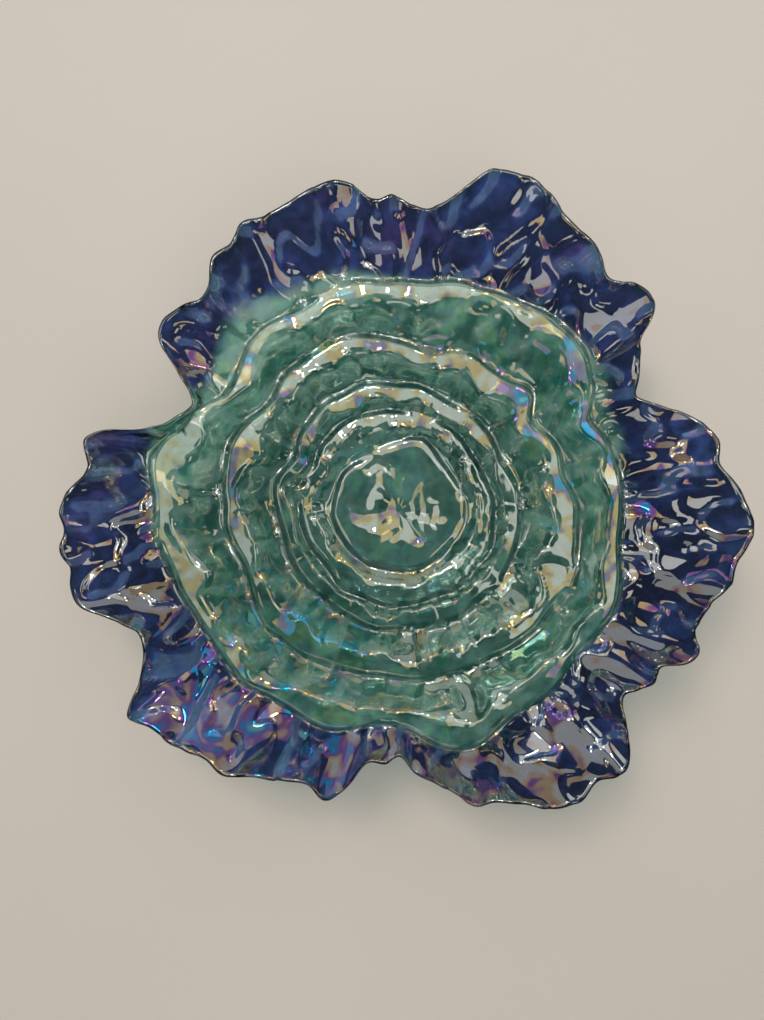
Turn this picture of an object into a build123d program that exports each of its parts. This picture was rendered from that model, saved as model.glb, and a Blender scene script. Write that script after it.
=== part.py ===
from build123d import *

import math
import os

# A three-petalled flower bowl of art glass, one sheet slumped to nested wavy terraces with a
# flared, scalloped flange. Millimetres. It stands on its base, +Z up out of the mouth, and the
# origin is on the table under the middle of the bowl's box.

# ---- driving dimensions ----
OVERALL_HEIGHT = 80.0     # table to the highest point of the rim
GLASS_THICKNESS = 5.0     # straight down through the sheet
WELL_FLAT_RADIUS = 20.0   # the level middle of the well
BASE_RADIUS = 52.0        # the flat ground patch under the well
STATIONS_OVER_PATCH = 11  # how many of the upper face's stations lie over that patch

FOOT_DIAMETER = 12.7      # where it is stuck on
FOOT_TREAD_DIAMETER = 10.0
FOOT_HEIGHT = 3.0
FOOT_EDGE_RADIUS = 1.2
FOOT_CIRCLE_RADIUS = 44.0
FOOT_COUNT = 4
FIRST_FOOT_BEARING = 45.0
ADHESIVE_DIAMETER = 10.5
ADHESIVE_THICKNESS = 0.2

BASE_Z = FOOT_HEIGHT + ADHESIVE_THICKNESS      # underside of the glass
WELL_Z = BASE_Z + GLASS_THICKNESS              # upper face at the middle of the well

# Every curve below is closed round the flower's own centre, and is a list of bearings, in
# degrees counter-clockwise from +X, with the reach there in millimetres.

# ---- the rim's scalloped edge, petal by petal, from one deep notch to the next ----
RIGHT_PETAL = [
    (270, 155), (273, 165), (277, 170), (280.5, 177), (284, 186), (287.5, 186), (292.5, 193),
    (298, 205), (301.5, 207), (306.5, 204), (308.5, 209), (310.5, 212), (313.5, 205),
    (316.5, 190), (320.5, 179), (323, 184), (325.5, 189), (329, 186), (331.5, 197),
    (334, 201), (338, 193.5), (343, 196), (346.5, 204), (350.5, 205.5), (354, 211),
    (357, 214), (360, 210), (364, 205), (368, 197), (373.5, 199.5), (378, 189), (382, 175.5),
]
UPPER_PETAL = [
    (386, 165), (389, 170), (393, 178), (395.8, 184), (397.5, 197), (400.5, 201.5),
    (404, 198), (408, 190.5), (412, 197), (416.5, 200.5), (421.5, 206.5), (425.5, 214),
    (431, 218), (435.5, 214), (438.5, 202.5), (442, 190), (446, 185.5), (451.5, 193),
    (454.5, 189.5), (458.5, 200), (463, 204.5), (467, 201), (474, 197), (479.5, 199),
    (483, 192), (487, 190), (490, 181), (493, 178), (498, 185.5), (502, 189), (505, 184),
    (508, 166),
]
LEFT_PETAL = [
    (512.5, 147), (517, 152.5), (521, 161), (523, 171), (524.5, 187), (526.5, 197),
    (529, 197), (532, 191.5), (537, 202.5), (540.5, 207), (543, 205), (547, 208.5),
    (550, 205), (553, 208), (557, 205.5), (560, 193), (565, 179), (570, 182.5),
    (573.5, 193), (577, 208.5), (581, 203), (588, 197), (592, 193), (596, 194), (601, 184.5),
    (607, 179.5), (611, 177.5), (616, 184), (619, 175.5), (622, 161), (627, 159),
]
RIM = RIGHT_PETAL + UPPER_PETAL + LEFT_PETAL

# ---- the crests of the terraces, from the main ridge inwards ----
MAIN_RIDGE = [
    (8, 140), (19, 136), (26, 134), (33, 145), (45, 157), (57, 152), (75, 148), (87, 144),
    (97, 147), (114, 142), (131, 142), (148, 134), (157, 146), (168, 159), (180, 155),
    (194, 151), (205, 144.5), (222, 146), (238, 143), (252, 144), (266, 134.5), (272, 138),
    (280, 151), (286, 155.5), (297, 149), (312, 148), (322, 144.5), (338, 148), (350, 141),
]
SECOND_CREST = [
    (1, 115), (10, 110), (24, 109), (35, 104.5), (42, 114), (50, 109), (66, 110), (80, 104),
    (92, 110), (107, 118), (122, 116), (142, 111), (160, 118), (175, 114), (190, 110),
    (200, 105), (214, 113), (228, 113), (248, 109), (270, 109), (290, 110), (308, 113),
    (329, 118), (345, 118),
]
THIRD_CREST = [
    (0, 80), (20, 76), (38, 75), (54, 79), (78, 80), (103, 84), (127, 85), (140, 82),
    (152, 78), (166, 83), (188, 79), (223, 77), (251, 78), (284, 79), (310, 80), (335, 81),
]
INNER_LIP = [(bearing, reach * 0.79) for bearing, reach in THIRD_CREST]
WELL_CREST = [
    (3, 42), (42, 41), (68, 48), (96, 43), (129, 41), (171, 43), (201, 42), (244, 38), (287, 37),
]

# ---- each crest: its height over the well, and how far the glass dips just outside it ----
TERRACES = [
    (WELL_CREST, 2.6, 1.4),
    (INNER_LIP, 7.0, 2.0),
    (THIRD_CREST, 13.6, 3.4),
    (SECOND_CREST, 26.8, 4.8),
    (MAIN_RIDGE, 44.0, 6.0),
]
DIP_WIDTH = 5.0
DIP_STATIONS = [0.3, 0.65, 1.0]            # parts of the way down a dip where the relief is set
RISE_STATIONS = [0.2, 0.4, 0.6, 0.8, 1.0]  # parts of the way up from a dip to the next crest
FLANGE_FLARE = 1.25       # over 1, so that the flange steepens towards its edge
EDGE_ANGLES = [30, 60, 90, 120, 150]       # degrees round the fire-polished edge, from its top

# ---- the rim is highest at the petals' tips and comes down into the notches ----
DEEP_NOTCHES = [26, 152.5, 268]
SHALLOW_NOTCHES = [86, 205, 320.5]
DEEP_NOTCH_DROP = 16.0
SHALLOW_NOTCH_DROP = 6.0
NOTCH_HALF_WIDTH = 24.0   # degrees


def ease(t):
    """0 below 0, 1 above 1, and an even S between."""
    t = min(max(t, 0.0), 1.0)
    return t * t * (3.0 - 2.0 * t)


def reach_at(curve, bearing):
    """A closed curve's reach at a bearing, eased between the points on either side of it."""
    points = sorted((point_bearing % 360, reach) for point_bearing, reach in curve)
    points = [(points[-1][0] - 360, points[-1][1])] + points + [(points[0][0] + 360, points[0][1])]
    for (start, start_reach), (end, end_reach) in zip(points, points[1:]):
        if start <= bearing % 360 <= end:
            return start_reach + (end_reach - start_reach) * ease((bearing % 360 - start) / (end - start))


def rim_height(bearing):
    """Height of the rim's upper face at a bearing."""
    drop = 0.0
    for notches, depth in ((DEEP_NOTCHES, DEEP_NOTCH_DROP), (SHALLOW_NOTCHES, SHALLOW_NOTCH_DROP)):
        for notch in notches:
            away = abs((bearing - notch + 180) % 360 - 180)
            drop = max(drop, depth * (1 - ease(away / NOTCH_HALF_WIDTH)))
    return OVERALL_HEIGHT - drop


def upper_profile(bearing, rim_reach):
    """The upper face from the well out to the rim, at one bearing, as (reach, height) stations."""
    stations = [(WELL_FLAT_RADIUS, WELL_Z)]
    for crest, height, dip in TERRACES:
        foot_reach, foot_z = stations[-1]
        crest_reach, crest_z = reach_at(crest, bearing), WELL_Z + height
        for part_way in RISE_STATIONS:
            reach = foot_reach + (crest_reach - foot_reach) * part_way
            stations.append((reach, foot_z + (crest_z - foot_z) * ease(part_way)))
        for part_way in DIP_STATIONS:
            stations.append((crest_reach + DIP_WIDTH * part_way, crest_z - dip * ease(part_way)))
    foot_reach, foot_z = stations[-1]
    rim_z = rim_height(bearing)
    for part_way in RISE_STATIONS:
        reach = foot_reach + (rim_reach - GLASS_THICKNESS / 2 - foot_reach) * part_way
        stations.append((reach, foot_z + (rim_z - foot_z) * part_way ** FLANGE_FLARE))
    return stations


def full_profile(bearing, rim_reach):
    """The upper face, the rounded edge, and the underside back to the flat ground patch."""
    upper = upper_profile(bearing, rim_reach)
    half = GLASS_THICKNESS / 2
    edge_reach, edge_z = upper[-1][0], upper[-1][1] - half
    edge = []
    for angle in EDGE_ANGLES:
        turn = math.radians(angle)
        edge.append((edge_reach + half * math.sin(turn), edge_z + half * math.cos(turn)))
    under = [(reach, z - GLASS_THICKNESS) for reach, z in upper[STATIONS_OVER_PATCH:]]
    return upper + edge + under[::-1] + [(BASE_RADIUS, BASE_Z)]


def ring_through(points):
    """A closed smooth wire, paced like the rim so that neighbouring rings match up."""
    return Wire([Edge.make_spline(points, periodic=True, parameters=RIM_PACE)])


def point_at(bearing, reach, z):
    return Vector(reach * math.cos(math.radians(bearing)), reach * math.sin(math.radians(bearing)), z)


# ---- the glass: rings from the well out over the edge and back underneath, skinned ----
rim_points = [point_at(bearing, reach, 0) for bearing, reach in RIM]
RIM_PACE = [0.0]
for here, after in zip(rim_points, rim_points[1:] + rim_points[:1]):
    RIM_PACE.append(RIM_PACE[-1] + (after - here).length)

profiles = [full_profile(bearing, reach) for bearing, reach in RIM]
rings = []
for station in zip(*profiles):
    rings.append(ring_through([point_at(bearing, *place) for (bearing, _), place in zip(RIM, station)]))
glass_bowl = Solid.make_loft(rings, ruled=True)

# ---- the feet: a clear domed bumper on a thin adhesive disc, four under the ground patch ----
foot_blank = Cone(
    FOOT_TREAD_DIAMETER / 2, FOOT_DIAMETER / 2, FOOT_HEIGHT, align=(Align.CENTER, Align.CENTER, Align.MIN)
)
tread_edge = foot_blank.edges().sort_by(Axis.Z)[0]
foot = fillet(tread_edge, FOOT_EDGE_RADIUS)
adhesive = Cylinder(
    ADHESIVE_DIAMETER / 2, ADHESIVE_THICKNESS, align=(Align.CENTER, Align.CENTER, Align.MIN)
).moved(Location((0, 0, FOOT_HEIGHT)))

subparts = {"glass_bowl": glass_bowl}
for number in range(FOOT_COUNT):
    bearing = FIRST_FOOT_BEARING + number * 360 / FOOT_COUNT
    place = Location(point_at(bearing, FOOT_CIRCLE_RADIUS, 0))
    subparts[f"bumper_foot_{number + 1}"] = foot.moved(place)
    subparts[f"adhesive_disc_{number + 1}"] = adhesive.moved(place)

# ---- the origin: on the table, under the middle of the bowl's box ----
box = glass_bowl.bounding_box()
to_origin = Location((-(box.min.X + box.max.X) / 2, -(box.min.Y + box.max.Y) / 2, 0))

os.makedirs("parts", exist_ok=True)
for name, shape in subparts.items():
    export_step(shape.moved(to_origin), f"parts/{name}.step")
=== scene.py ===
import math

import bpy
import numpy as np
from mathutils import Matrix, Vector, noise


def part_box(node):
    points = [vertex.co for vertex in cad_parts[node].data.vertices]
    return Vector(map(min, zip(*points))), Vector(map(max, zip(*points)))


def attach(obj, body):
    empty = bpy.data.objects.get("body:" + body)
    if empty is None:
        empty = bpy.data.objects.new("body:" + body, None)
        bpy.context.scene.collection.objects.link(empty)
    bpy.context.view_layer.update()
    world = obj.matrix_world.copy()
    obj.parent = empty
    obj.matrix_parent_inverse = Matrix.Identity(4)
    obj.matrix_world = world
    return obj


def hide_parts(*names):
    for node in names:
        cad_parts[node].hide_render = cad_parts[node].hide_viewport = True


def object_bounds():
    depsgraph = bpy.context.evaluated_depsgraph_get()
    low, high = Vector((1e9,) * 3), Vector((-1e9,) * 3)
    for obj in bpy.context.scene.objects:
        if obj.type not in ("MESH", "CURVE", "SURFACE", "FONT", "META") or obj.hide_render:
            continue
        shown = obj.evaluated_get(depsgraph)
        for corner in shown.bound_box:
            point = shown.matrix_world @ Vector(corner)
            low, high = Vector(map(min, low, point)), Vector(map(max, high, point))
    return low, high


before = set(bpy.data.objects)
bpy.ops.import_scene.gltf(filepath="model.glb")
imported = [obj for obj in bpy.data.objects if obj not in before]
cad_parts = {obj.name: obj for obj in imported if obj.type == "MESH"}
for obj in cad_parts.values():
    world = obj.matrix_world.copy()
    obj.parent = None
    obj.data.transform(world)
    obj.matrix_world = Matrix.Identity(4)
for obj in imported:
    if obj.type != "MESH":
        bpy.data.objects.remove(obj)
cad_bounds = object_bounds()


# ---- camera ----
# The bowl is looked at face on, from over its well and a little to the left of it, at arm's
# length: that close, the rim stands visibly nearer than the base.
EYE_HEIGHT = 0.540
EYE_LEFT_OF_WELL = 0.0115
opposite_feet = [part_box(f"bumper_foot_{number}") for number in (1, 3)]
well_x = sum(low[0] + high[0] for low, high in opposite_feet) / 4
well_y = sum(low[1] + high[1] for low, high in opposite_feet) / 4

camera_data = bpy.data.cameras.new("camera")
camera_data.lens = 27.0
camera_data.sensor_width = 36.0
camera = bpy.data.objects.new("camera", camera_data)
camera.location = (well_x - EYE_LEFT_OF_WELL, well_y, EYE_HEIGHT)
bpy.context.scene.collection.objects.link(camera)
bpy.context.scene.camera = camera


# ---- the glass: its form ----
# One 5 mm sheet of coloured glass, slumped in a kiln over a three-petalled mould and
# fire-polished: a shallow well, nested terraces that each end in a lip, and a pebbled flange
# with a scalloped, rounded edge.
MM = 0.001
GLASS_THICKNESS = 5.0 * MM
BASE_RADIUS = 52.0 * MM
BEARINGS = 600

# Each curve is closed round the middle of the well: bearings in degrees counter-clockwise from
# +X, with the reach there in millimetres. The rim goes petal by petal between its deep notches.
RIGHT_PETAL = [
    (270, 155), (273, 165), (277, 170), (280.5, 177), (284, 186), (287.5, 186), (292.5, 193),
    (298, 205), (301.5, 207), (306.5, 204), (308.5, 209), (310.5, 212), (313.5, 205),
    (316.5, 190), (320.5, 179), (323, 184), (325.5, 189), (329, 186), (331.5, 197),
    (334, 201), (338, 193.5), (343, 196), (346.5, 204), (350.5, 205.5), (354, 211),
    (357, 214), (360, 210), (364, 205), (368, 197), (373.5, 199.5), (378, 189), (382, 175.5),
]
UPPER_PETAL = [
    (386, 165), (389, 170), (393, 178), (395.8, 184), (397.5, 197), (400.5, 201.5),
    (404, 198), (408, 190.5), (412, 197), (416.5, 200.5), (421.5, 206.5), (425.5, 214),
    (431, 218), (435.5, 214), (438.5, 202.5), (442, 190), (446, 185.5), (451.5, 193),
    (454.5, 189.5), (458.5, 200), (463, 204.5), (467, 201), (474, 197), (479.5, 199),
    (483, 192), (487, 190), (490, 181), (493, 178), (498, 185.5), (502, 189), (505, 184),
    (508, 166),
]
LEFT_PETAL = [
    (512.5, 147), (517, 152.5), (521, 161), (523, 171), (524.5, 187), (526.5, 197),
    (529, 197), (532, 191.5), (537, 202.5), (540.5, 207), (543, 205), (547, 208.5),
    (550, 205), (553, 208), (557, 205.5), (560, 193), (565, 179), (570, 182.5),
    (573.5, 193), (577, 208.5), (581, 203), (588, 197), (592, 193), (596, 194), (601, 184.5),
    (607, 179.5), (611, 177.5), (616, 184), (619, 175.5), (622, 161), (627, 159),
]
MAIN_RIDGE = [
    (8, 140), (19, 136), (26, 134), (33, 145), (45, 157), (57, 152), (75, 148), (87, 144),
    (97, 147), (114, 142), (131, 142), (148, 134), (157, 146), (168, 159), (180, 155),
    (194, 151), (205, 144.5), (222, 146), (238, 143), (252, 144), (266, 134.5), (272, 138),
    (280, 151), (286, 155.5), (297, 149), (312, 148), (322, 144.5), (338, 148), (350, 141),
]
SECOND_CREST = [
    (1, 115), (10, 110), (24, 109), (35, 104.5), (42, 114), (50, 109), (66, 110), (80, 104),
    (92, 110), (107, 118), (122, 116), (142, 111), (160, 118), (175, 114), (190, 110),
    (200, 105), (214, 113), (228, 113), (248, 109), (270, 109), (290, 110), (308, 113),
    (329, 118), (345, 118),
]
THIRD_CREST = [
    (0, 80), (20, 76), (38, 75), (54, 79), (78, 80), (103, 84), (127, 85), (140, 82),
    (152, 78), (166, 83), (188, 79), (223, 77), (251, 78), (284, 79), (310, 80), (335, 81),
]
INNER_LIP = [(bearing, reach * 0.79) for bearing, reach in THIRD_CREST]
WELL_CREST = [
    (3, 42), (42, 41), (68, 48), (96, 43), (129, 41), (171, 43), (201, 42), (244, 38), (287, 37),
]

# Each crest, with its height over the well, how far the glass drops just outside it, and the
# outer part of its terrace that lies nearly level.
TERRACES = [
    (WELL_CREST, 2.6, 1.4, 0.30),
    (INNER_LIP, 7.0, 2.0, 0.45),
    (THIRD_CREST, 13.6, 3.4, 0.66),
    (SECOND_CREST, 26.8, 4.8, 0.38),
    (MAIN_RIDGE, 44.0, 6.0, 0.34),
]
DROP_WIDTH = 5.0 * MM
FLANGE_FLARE = 1.25
DEEP_NOTCHES = [26, 152.5, 268]
SHALLOW_NOTCHES = [86, 205, 320.5]
DEEP_NOTCH_DROP = 16.0 * MM
SHALLOW_NOTCH_DROP = 6.0 * MM
NOTCH_HALF_WIDTH = 24.0
RIM_BELOW_TOP = 0.8 * MM


def ease(t):
    """0 below 0, 1 above 1, and an even S between."""
    t = np.clip(t, 0.0, 1.0)
    return t * t * (3.0 - 2.0 * t)


def reach_along(curve, bearings):
    """A closed curve's reach in metres at each bearing, on a smooth line through its points."""
    points = sorted((bearing % 360, reach) for bearing, reach in curve)
    knots = np.array([bearing for bearing, _ in points])
    reaches = np.array([reach for _, reach in points]) * MM
    knots = np.concatenate([knots[-2:] - 360, knots, knots[:2] + 360])
    reaches = np.concatenate([reaches[-2:], reaches, reaches[:2]])
    slopes = np.gradient(reaches, knots)
    span = np.clip(np.searchsorted(knots, bearings, side="right") - 1, 0, len(knots) - 2)
    width = knots[span + 1] - knots[span]
    t = (bearings - knots[span]) / width
    return (
        reaches[span] * (1 + 2 * t) * (1 - t) ** 2
        + reaches[span + 1] * t * t * (3 - 2 * t)
        + slopes[span] * width * t * (1 - t) ** 2
        + slopes[span + 1] * width * t * t * (t - 1)
    )


def swells(points, size, seed):
    """Smooth noise from -1 to 1 at each point, with lumps about size across."""
    shift = Vector((0, 0, seed))
    return np.array([noise.noise(Vector(point) + shift) for point in points / size])


def domes(points, size, seed):
    """Flat-topped domes and flat floors, from -0.5 to 0.5, with smooth sides between them."""
    return ease((swells(points, size, seed) + 0.2) / 0.4) - 0.5


bearings = np.arange(BEARINGS) * 360.0 / BEARINGS
circle = np.stack([np.cos(np.radians(bearings)), np.sin(np.radians(bearings))], axis=1)


def laid_flat(reach):
    """A ring's points on a pattern laid flat over the bowl."""
    return np.stack([reach * circle[:, 0], reach * circle[:, 1], np.zeros(BEARINGS)], axis=1)


def wrapped(reach, around, longer):
    """A ring's points on a pattern wrapped round the bowl, drawn out longer from the middle."""
    return np.stack([around * circle[:, 0], around * circle[:, 1], reach / longer], axis=1)


def near(bearing, half_width):
    """1 at a bearing, falling to 0 at half_width degrees either side."""
    away = np.abs((bearings - bearing + 180) % 360 - 180)
    return 1 - ease(away / half_width)


# the crests waver by a couple of millimetres, their level parts widen and narrow, their drops
# deepen and die away, and the rim dips at each notch
WAVER = 3.2 * MM
NARROWEST_LEVEL, WIDEST_LEVEL = 0.12, 0.8
WEAKEST_DROP, STRONGEST_DROP = 0.15, 1.5
NARROW_RIDGE_BEARING = 68
adhesive_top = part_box("adhesive_disc_1")[1][2]
well_z = adhesive_top + GLASS_THICKNESS
crests = []
for number, (curve, height, drop, level) in enumerate(TERRACES):
    crest_reach = reach_along(curve, bearings)
    on_crest = laid_flat(crest_reach)
    waver = swells(on_crest, 24 * MM, 3.0 + number) * WAVER
    unevenness = swells(on_crest, 30 * MM, 13.0 + number)
    crest_z = well_z + height * MM * (1 + 0.05 * unevenness)
    strength = np.clip(1 + 1.6 * unevenness, WEAKEST_DROP, STRONGEST_DROP)
    width = 1 + 1.2 * swells(on_crest, 26 * MM, 23.0 + number)
    if curve is MAIN_RIDGE:
        width *= 1 - 0.6 * near(NARROW_RIDGE_BEARING, 55)
    level = np.clip(level * width, NARROWEST_LEVEL, WIDEST_LEVEL)
    crests.append((crest_reach + waver, crest_z, drop * MM * strength, level, strength))
rim_reach = reach_along(RIGHT_PETAL + UPPER_PETAL + LEFT_PETAL, bearings)
rim_z = np.full(BEARINGS, cad_bounds[1][2] - RIM_BELOW_TOP)
dips = [DEEP_NOTCH_DROP * near(notch, NOTCH_HALF_WIDTH) for notch in DEEP_NOTCHES]
dips += [SHALLOW_NOTCH_DROP * near(notch, NOTCH_HALF_WIDTH) for notch in SHALLOW_NOTCHES]
rim_z -= np.max(dips, axis=0)

# rows of the upper face, from the well's middle out, each as a reach and a height at every
# bearing; a row's band is 1 on the smooth level of a crest, its steepness 1 on the drop outside
RISE_ROWS = [14, 8, 12, 15, 16]
DROP_ROWS = 4
FLANGE_ROWS = 36
LEVEL_BLEND = 0.12
rows, bands, steepness = [], [], []
foot_reach, foot_z = np.zeros(BEARINGS), np.full(BEARINGS, well_z)
for (crest_reach, crest_z, drop, level, strength), rise_rows in zip(crests, RISE_ROWS):
    for part in np.linspace(1 / rise_rows, 1.0, rise_rows):
        rise = ease(part / (1 - level))
        rows.append((foot_reach + (crest_reach - foot_reach) * part, foot_z + (crest_z - foot_z) * rise))
        bands.append(ease((part - 1 + level + LEVEL_BLEND) / 0.2))
        steepness.append(np.zeros(BEARINGS))
    for part in np.linspace(1 / DROP_ROWS, 1.0, DROP_ROWS):
        rows.append((crest_reach + DROP_WIDTH * part, crest_z - drop * ease(part)))
        bands.append(np.full(BEARINGS, 1.0 - 0.5 * part))
        steepness.append(strength * (math.sin(math.pi * part) ** 0.5 if part < 1 else 0.3))
    foot_reach, foot_z = rows[-1]
ridge_reach = crests[-1][0]
flange_end = rim_reach - GLASS_THICKNESS / 2
for part in np.linspace(1 / FLANGE_ROWS, 1.0, FLANGE_ROWS):
    height = foot_z + (rim_z - foot_z) * part**FLANGE_FLARE
    rows.append((foot_reach + (flange_end - foot_reach) * part, height))
    bands.append(np.zeros(BEARINGS))
    steepness.append(np.zeros(BEARINGS))
upper = np.array(rows)


FLANGE_MIDDLE = 178 * MM
TERRACE_MIDDLE = 105 * MM
DRAWN_OUT = 1.3
WELL_END = 48 * MM
DIMPLE_SMOOTHING = 0.93


def relief(row):
    """Pebbles on the flange, softer dimples on the terraces, and long eyes beside the crests."""
    reach = upper[row, 0]
    out = ease((reach - ridge_reach) / (flange_end - ridge_reach) / 0.16)
    flange = wrapped(reach, FLANGE_MIDDLE, DRAWN_OUT)
    pebbles = domes(flange, 12.5 * MM, 3.0) * 2.8 + swells(flange, 25 * MM, 5.3) * 3.0
    outside_well = ease((reach - WELL_END) / (15 * MM))
    flat = laid_flat(reach)
    terrace = flat + (wrapped(reach, TERRACE_MIDDLE, DRAWN_OUT) - flat) * outside_well[:, None]
    dimples = domes(terrace, 13 * MM, 9.0) * (0.6 + 1.8 * outside_well)
    dimples += swells(terrace, 20 * MM, 7.7) * 1.4
    band = bands[row]
    eyes = ease(swells(flat, 21 * MM, 1.9) * 3.0 - 0.5) * band * (1 - band) * -3.6
    return (pebbles * out + (dimples * (1 - DIMPLE_SMOOTHING * band) + eyes) * (1 - out)) * MM


bumps = np.array([relief(row) for row in range(len(upper))])
bumps[0] = bumps[0].mean()
upper[:, 1] += bumps

# how steeply each spot leans away from the back left: the glass's colour is painted lighter where a
# spot leans away, as if more light came through there, and darker where it leans towards
AWAY_X, AWAY_Y = -0.5, 0.87
row_gaps = np.maximum(np.gradient(upper[:, 0], axis=0), 0.2 * MM)
column_gaps = upper[:, 0] * 4 * math.pi / BEARINGS
lean_out = np.gradient(bumps, axis=0) / row_gaps
lean_round = (np.roll(bumps, -1, axis=1) - np.roll(bumps, 1, axis=1)) / column_gaps
lean = lean_out * (circle[:, 0] * AWAY_X + circle[:, 1] * AWAY_Y)
lean += lean_round * (circle[:, 0] * AWAY_Y - circle[:, 1] * AWAY_X)

# the edge turns over in a half round, the underside follows the upper face more softly, and
# the base is ground flat
EDGE_STEPS = 6
UNDER_ROW_STEP = 3
UNDER_RELIEF = 0.4
BASE_RINGS = (1.0, 0.97, 0.6, 0.2, 0.0)
edge_radius = GLASS_THICKNESS / 2
edge = []
for angle in np.linspace(0, math.pi, EDGE_STEPS + 1)[1:-1]:
    edge.append((
        upper[-1, 0] + edge_radius * math.sin(angle),
        upper[-1, 1] - edge_radius + edge_radius * math.cos(angle),
    ))
under = []
for row in range(len(upper) - 4, 0, -UNDER_ROW_STEP):
    reach, height = upper[row]
    if reach.min() < BASE_RADIUS + 4 * MM:
        break
    under.append((reach, height - bumps[row] * UNDER_RELIEF - GLASS_THICKNESS))
for part in BASE_RINGS:
    under.append((np.full(BEARINGS, BASE_RADIUS * part), np.full(BEARINGS, adhesive_top)))
middle = np.stack([np.zeros(BEARINGS), np.full(BEARINGS, upper[0, 1].mean())])
profile = np.concatenate([middle[None], upper, np.array(edge), np.array(under)])

# a flat grid is wrapped on to the profile, its first column meeting its last
row_count = len(profile)
bpy.ops.object.select_all(action="DESELECT")
bpy.ops.mesh.primitive_grid_add(x_subdivisions=BEARINGS, y_subdivisions=row_count - 1, size=2)
glass = bpy.context.object
glass.name = "glass"
column = np.tile(np.arange(BEARINGS + 1) % BEARINGS, row_count)
row = np.repeat(np.arange(row_count), BEARINGS + 1)
reach, height = profile[row, 0, column], profile[row, 1, column]
places = np.stack([well_x + reach * circle[column, 0], well_y + reach * circle[column, 1], height], axis=1)
glass.data.vertices.foreach_set("co", places.astype(np.float32).ravel())

# stain: 0 where the glass is teal, 1 where it is cobalt. depth: painted shade, for the darker
# look of colour seen through at a slant, most on the drops and round the edge. lit: painted
# light and shade from the lean, painted lighter in the well, with a painted glow just outside the
# ridge at the upper left and paler painted light over the lower left flange. film: how thick the
# lustre lies, most at the lower left and the right, and FILM_NONE where there is none.
FILM_NONE = -3.0
EDGE_PAINTED_SHADE = 0.85
SPILL_BEARING, NOTCH_SPILL_BEARING = 132, 26
GLOW_BEARING, PALER_BEARING = 125, 240
LEFT_FILM_BEARING, RIGHT_FILM_BEARING = 236, 30
FIRST_UNDER_ROW = len(upper) + 1
teal_spill = (9 * MM * np.maximum(near(SPILL_BEARING, 48), 0.7 * near(NOTCH_SPILL_BEARING, 20)))[column]
out_of_ridge = reach - ridge_reach[column]
# painted shade: strongest on the drops, and a set amount round the edge
depth = np.zeros((row_count, BEARINGS))
depth[1:FIRST_UNDER_ROW] = np.minimum(steepness, 1.0)
depth[FIRST_UNDER_ROW : FIRST_UNDER_ROW + EDGE_STEPS - 1] = EDGE_PAINTED_SHADE
lit = np.zeros((row_count, BEARINGS))
lit[1:FIRST_UNDER_ROW] = lean + 0.12 * (1 - ease((upper[:, 0] - 35 * MM) / (40 * MM)))
# painted glow just outside the ridge at the upper left, and paler painted light over the lower left flange
glow = near(GLOW_BEARING, 42)[column] * np.exp(-(((out_of_ridge - 12 * MM) / (12 * MM)) ** 2))
paler = near(PALER_BEARING, 45)[column] * ease(out_of_ridge / (12 * MM))
film = 0.08 + 0.44 * near(LEFT_FILM_BEARING, 58)[column] * ease((reach - 60 * MM) / (30 * MM))
to_the_right = near(RIGHT_FILM_BEARING, 60)[column] * ease((reach - 85 * MM) / (20 * MM))
film += 0.40 * to_the_right * (1 - 0.7 * ease(out_of_ridge / (10 * MM)))
film += FILM_NONE * ease((depth[row, column] - 0.3) / 0.4)
film[row >= FIRST_UNDER_ROW] = FILM_NONE
glass_numbers = {
    "stain": ease((out_of_ridge + 1 * MM - teal_spill) / (13 * MM + teal_spill)),
    "depth": depth[row, column],
    "lit": lit[row, column] + 0.13 * glow + 0.1 * paler,
    "film": film,
}
for name, values in glass_numbers.items():
    layer = glass.data.attributes.new(name, "FLOAT", "POINT")
    layer.data.foreach_set("value", values.astype(np.float32))

bpy.ops.object.mode_set(mode="EDIT")
bpy.ops.mesh.select_all(action="SELECT")
bpy.ops.mesh.remove_doubles(threshold=1e-6)
bpy.ops.mesh.normals_make_consistent(inside=False)
bpy.ops.object.mode_set(mode="OBJECT")
bpy.ops.object.shade_smooth()
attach(glass, "root")
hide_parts("glass_bowl")


# ---- the glass: its colour and lustre ----
# Teal glass in the well and terraces, flashed with cobalt and violet over the flange. A metal
# lustre fumed on the hot upper face shows silver, gold, purple, blue or aqua as it thickens.
# Light and shade are painted into the colour as well: glints, glows and darker sides by how each
# spot leans, and painted shade on the drops and round the edge.
class Level:
    """One shader number, which Python's own operators add Math nodes to."""

    def __init__(self, finish, socket):
        self.finish = finish
        self.socket = socket

    def maths(self, operation, other):
        node = self.finish.add("ShaderNodeMath", {"operation": operation}, [self, other])
        return Level(self.finish, node.outputs[0])

    def __add__(self, other):
        return self.maths("ADD", other)

    def __sub__(self, other):
        return self.maths("SUBTRACT", other)

    def __rsub__(self, other):
        return self.maths("MULTIPLY", -1.0).maths("ADD", other)

    def __mul__(self, other):
        return self.maths("MULTIPLY", other)

    __radd__ = __add__
    __rmul__ = __mul__

    def between(self, low, high):
        """0 at low, 1 at high, and an even S between them."""
        settings = {"interpolation_type": "SMOOTHSTEP"}
        inputs = {"Value": self, "From Min": low, "From Max": high}
        return Level(self.finish, self.finish.add("ShaderNodeMapRange", settings, inputs).outputs[0])


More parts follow.
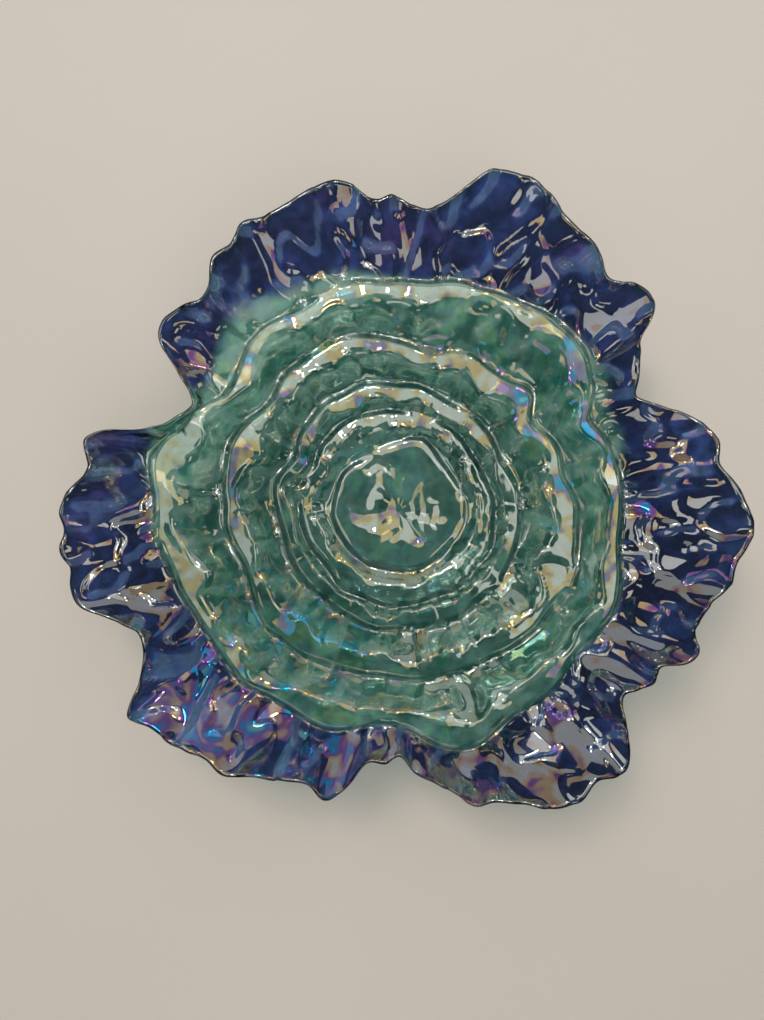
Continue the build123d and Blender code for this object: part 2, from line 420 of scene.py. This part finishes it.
class Finish:
    """The nodes of a new material, or of the studio round it."""

    def __init__(self, owner):
        self.owner = owner
        owner.use_nodes = True
        self.tree = owner.node_tree
        self.tree.nodes.clear()

    def add(self, kind, settings=None, inputs=None):
        """A node of one type, with its settings set first and then its sockets' values or links."""
        node = self.tree.nodes.new(kind)
        for key, value in (settings or {}).items():
            setattr(node, key, value)
        for key, value in (inputs.items() if isinstance(inputs, dict) else enumerate(inputs or [])):
            value = value.socket if isinstance(value, Level) else value
            if isinstance(value, bpy.types.NodeSocket):
                self.tree.links.new(value, node.inputs[key])
            else:
                node.inputs[key].default_value = value
        return node

    def number(self, name):
        """A number stored on the mesh."""
        node = self.add("ShaderNodeAttribute", {"attribute_name": name})
        return Level(self, node.outputs["Fac"])

    def cloud(self, scale, detail, distortion=0.0, seed=0.0):
        """Noise on the piece's own coordinates, about 0 to 1."""
        where = self.add("ShaderNodeTexCoord").outputs["Object"]
        inputs = {"Vector": where, "W": seed, "Scale": scale, "Detail": detail, "Distortion": distortion}
        node = self.add("ShaderNodeTexNoise", {"noise_dimensions": "4D"}, inputs)
        return Level(self, node.outputs["Fac"])

    def blend(self, part, low, high):
        """A colour from low to high."""
        node = self.add("ShaderNodeMix", {"data_type": "RGBA"}, {0: part, 6: low, 7: high})
        return node.outputs[2]

    def bump(self, height, strength, distance):
        inputs = {"Strength": strength, "Distance": distance, "Height": height}
        return self.add("ShaderNodeBump", None, inputs).outputs[0]

    def casting(self, shader, tint):
        """The shader, with light let through in its tint where it would cast a dark shadow."""
        shadow = self.add("ShaderNodeBsdfTransparent", None, {"Color": tint}).outputs[0]
        in_shadow = self.add("ShaderNodeLightPath").outputs["Is Shadow Ray"]
        return self.add("ShaderNodeMixShader", None, [in_shadow, shader, shadow]).outputs[0]

    def done(self, shader):
        self.add("ShaderNodeOutputMaterial", None, {"Surface": shader})
        return self.owner


# DEEP_TEAL and NAVY serve both as random darker tone and as painted shade where a spot leans towards the
# back left; PALE_GLINT and BLUE_GLINT are painted glints; SHADE is the painted shade on the drops and
# round the edge
TEAL = (0.48, 0.90, 0.72, 1)
DEEP_TEAL = (0.06, 0.31, 0.24, 1)
COBALT = (0.065, 0.125, 0.44, 1)
NAVY = (0.022, 0.042, 0.12, 1)
VIOLET = (0.11, 0.085, 0.37, 1)
SHADE = (0.01, 0.05, 0.07, 1)
PALE_GLINT = (0.72, 1.0, 0.86, 1)
BLUE_GLINT = (0.38, 0.62, 1.0, 1)
LUSTRE_INDEX = 2.5
SHADOW_TINT = (0.55, 0.66, 0.68, 1)

finish = Finish(bpy.data.materials.new("stained_glass"))
patches = finish.cloud(30.0, 2.0, 0.6)
# painted light and shade: by the lean and a noise, the teal runs from DEEP_TEAL to TEAL with painted pale
# glints, and the flange from NAVY to cobalt and violet with painted blue glints
lit = finish.number("lit") * 1.9 + (finish.cloud(90.0, 1.0, 0.8, seed=6.0) - 0.5) * 0.6
inner = finish.blend((lit + patches * 0.5).between(0.02, 0.45), DEEP_TEAL, TEAL)
inner = finish.blend(lit.between(0.16, 0.42), inner, PALE_GLINT)
outer = finish.blend(finish.cloud(14.0, 2.0, 0.6, seed=4.0).between(0.52, 0.66), COBALT, VIOLET)
outer = finish.blend((lit + patches * 0.5).between(0.05, 0.50), NAVY, outer)
outer = finish.blend(lit.between(0.22, 0.55), outer, BLUE_GLINT)
stain = finish.number("stain") + (patches - 0.5) * 0.5
colour = finish.blend(stain.between(0.15, 0.85), inner, outer)
# painted shade on the drops and round the edge
colour = finish.blend(finish.number("depth") * 0.92, colour, SHADE)
ripples = finish.bump(finish.cloud(60.0, 1.0, 0.3, seed=8.0), 0.2, 1 * MM)

# each film is one glass shader, and the film's level runs from one to the next; thicknesses are
# in nanometres, each with the level at which it starts
NO_FILM, SILVER_FILM, GOLD_FILM = 0.0, 57.0, 80.0
PURPLE_FILM, BLUE_FILM, AQUA_FILM = 106.0, 128.0, 150.0
FILM_STARTS = {
    NO_FILM: None,
    SILVER_FILM: -2.0,
    GOLD_FILM: 0.125,
    PURPLE_FILM: 0.375,
    BLUE_FILM: 0.625,
    AQUA_FILM: 0.875,
}
FILM_BLEND = 0.12
film = finish.number("film") + (finish.cloud(58.0, 1.0, 0.8, seed=2.0) - 0.5) * 2.6
shader = None
for thickness, start in FILM_STARTS.items():
    glassy = finish.add("ShaderNodeBsdfPrincipled", None, {
        "Base Color": colour, "Roughness": 0.03, "IOR": 1.5, "Transmission Weight": 1.0,
        "Thin Film Thickness": thickness, "Thin Film IOR": LUSTRE_INDEX, "Normal": ripples,
    }).outputs[0]
    if shader is None:
        shader = glassy
    else:
        part = film.between(start - FILM_BLEND, start + FILM_BLEND)
        shader = finish.add("ShaderNodeMixShader", None, [part, shader, glassy]).outputs[0]
glass.data.materials.clear()
glass.data.materials.append(finish.done(finish.casting(shader, SHADOW_TINT)))


# ---- bumper feet ----
# Four clear polyurethane domes moulded with a flat tread, pressed under the base so that the
# glass stands clear of the table. The soft clear plastic is a little cloudy inside.
CLOUDY = (0.76, 0.78, 0.76, 1)
CLEAR = (0.88, 0.90, 0.88, 1)
FEET = range(1, 5)
finish = Finish(bpy.data.materials.new("clear_polyurethane"))
haze = finish.cloud(160.0, 3.0)
shader = finish.add("ShaderNodeBsdfPrincipled", None, {
    "Base Color": finish.blend(haze.between(0.35, 0.65), CLOUDY, CLEAR),
    "Roughness": haze * 0.2 + 0.10, "IOR": 1.49, "Transmission Weight": 0.25,
    "Normal": finish.bump(finish.cloud(900.0, 2.0, seed=3.0), 0.15, 0.1 * MM),
}).outputs[0]
polyurethane = finish.done(finish.casting(shader, CLEAR))


def refinish(node, material):
    """Gives a CAD part a better material in place of its own."""
    for slot in bpy.data.objects[node].material_slots:
        slot.material = material


for number in FEET:
    refinish(f"bumper_foot_{number}", polyurethane)


# ---- adhesive discs ----
# A thin clear acrylic adhesive film die-cut into a disc, between each foot and the glass. It is
# bonded face to face, with a few fine air bubbles caught in it.
FILM_CLEAR = (0.86, 0.88, 0.87, 1)
BUBBLE = (0.74, 0.77, 0.76, 1)
finish = Finish(bpy.data.materials.new("acrylic_adhesive"))
bubbles = finish.cloud(700.0, 1.0, seed=5.0).between(0.60, 0.68)
shader = finish.add("ShaderNodeBsdfPrincipled", None, {
    "Base Color": finish.blend(bubbles, FILM_CLEAR, BUBBLE),
    "Roughness": bubbles * 0.3 + 0.10, "IOR": 1.47, "Transmission Weight": 0.2,
}).outputs[0]
adhesive = finish.done(finish.casting(shader, FILM_CLEAR))
for number in FEET:
    refinish(f"adhesive_disc_{number}", adhesive)


# ---- the floor ----
# A plain pale studio floor, painted matt in a warm off-white. The bowl stands on its feet on it.
FLOOR_SIZE = 6
WARM_WHITE = (0.79, 0.71, 0.61, 1)
LIGHTER_WHITE = (0.81, 0.73, 0.63, 1)
bpy.ops.mesh.primitive_plane_add(size=FLOOR_SIZE)
floor = bpy.context.object
floor.name = "floor"
finish = Finish(bpy.data.materials.new("floor_paint"))
mottle = finish.cloud(2.5, 3.0).between(0.3, 0.7)
shader = finish.add("ShaderNodeBsdfPrincipled", None, {
    "Base Color": finish.blend(mottle, WARM_WHITE, LIGHTER_WHITE), "Roughness": 0.6,
}).outputs[0]
floor.data.materials.append(finish.done(shader))


# ---- the light ----
# Soft studio light. Two broad lamps far off light the floor without showing in the glass; the
# panels are what its lustre reflects: a bank at the back, some overhead and at the sides.
def aimed(light, place):
    """Puts a light at its place, facing the well and out of the camera's sight."""
    light.location = place
    to_well = Vector((well_x, well_y, 0)) - Vector(place)
    light.rotation_euler = to_well.to_track_quat("-Z", "Y").to_euler()
    light.visible_camera = False
    bpy.context.scene.collection.objects.link(light)


def far_lamp(name, place, strength, softness):
    """A lamp far off, softness degrees across, that shows in no reflection."""
    lamp_data = bpy.data.lights.new(name, "SUN")
    lamp_data.energy = strength
    lamp_data.angle = math.radians(softness)
    lamp = bpy.data.objects.new(name, lamp_data)
    lamp.visible_glossy = False
    aimed(lamp, place)


def softbox(name, place, width, depth, power):
    """A lit panel that the glass mirrors, in metres and watts."""
    panel_data = bpy.data.lights.new(name, "AREA")
    panel_data.shape = "RECTANGLE"
    panel_data.size = width
    panel_data.size_y = depth
    panel_data.energy = power
    aimed(bpy.data.objects.new(name, panel_data), place)


far_lamp("key", (-0.6, 0.9, 1.5), 1.15, 26)
far_lamp("fill", (0.4, -1.1, 1.6), 0.40, 40)
softbox("left_lamp", (-0.35, 0.75, 1.4), 0.14, 0.14, 1.1)
softbox("right_lamp", (0.45, 0.95, 1.3), 0.10, 0.10, 0.8)
softbox("high_lamp", (-0.05, 0.60, 1.8), 0.10, 0.10, 0.8)
softbox("back_bank", (0.2, 1.4, 0.9), 3.0, 1.1, 4.4)
softbox("left_window", (-1.2, 0.0, 1.0), 0.4, 0.7, 0.8)
softbox("right_window", (1.2, 0.2, 1.0), 0.28, 0.5, 0.4)
softbox("low_front", (-0.3, -1.1, 0.9), 0.7, 0.4, 0.6)
softbox("overhead", (0.0, 0.72, 1.9), 1.9, 1.05, 5.5)
softbox("overhead_left", (-0.62, -0.05, 1.9), 0.8, 0.5, 0.8)
softbox("overhead_right", (0.62, -0.05, 1.9), 0.8, 0.5, 1.1)

# the backdrop is as pale as the floor, but dark where the lustre would mirror it
BACKDROP = (0.50, 0.45, 0.39, 1)
UNLIT = (0.014, 0.014, 0.015, 1)
studio = bpy.data.worlds.new("studio")
bpy.context.scene.world = studio
finish = Finish(studio)
path = finish.add("ShaderNodeLightPath")
seen = Level(finish, path.outputs["Is Camera Ray"]).maths("MAXIMUM", path.outputs["Is Transmission Ray"])
colour = finish.blend(seen, UNLIT, BACKDROP)
backdrop = finish.add("ShaderNodeBackground", None, {"Color": colour}).outputs[0]
finish.add("ShaderNodeOutputWorld", None, {"Surface": backdrop})
bpy.context.scene.view_settings.view_transform = "Standard"
bpy.context.scene.cycles.caustics_reflective = False
bpy.context.scene.cycles.caustics_refractive = False
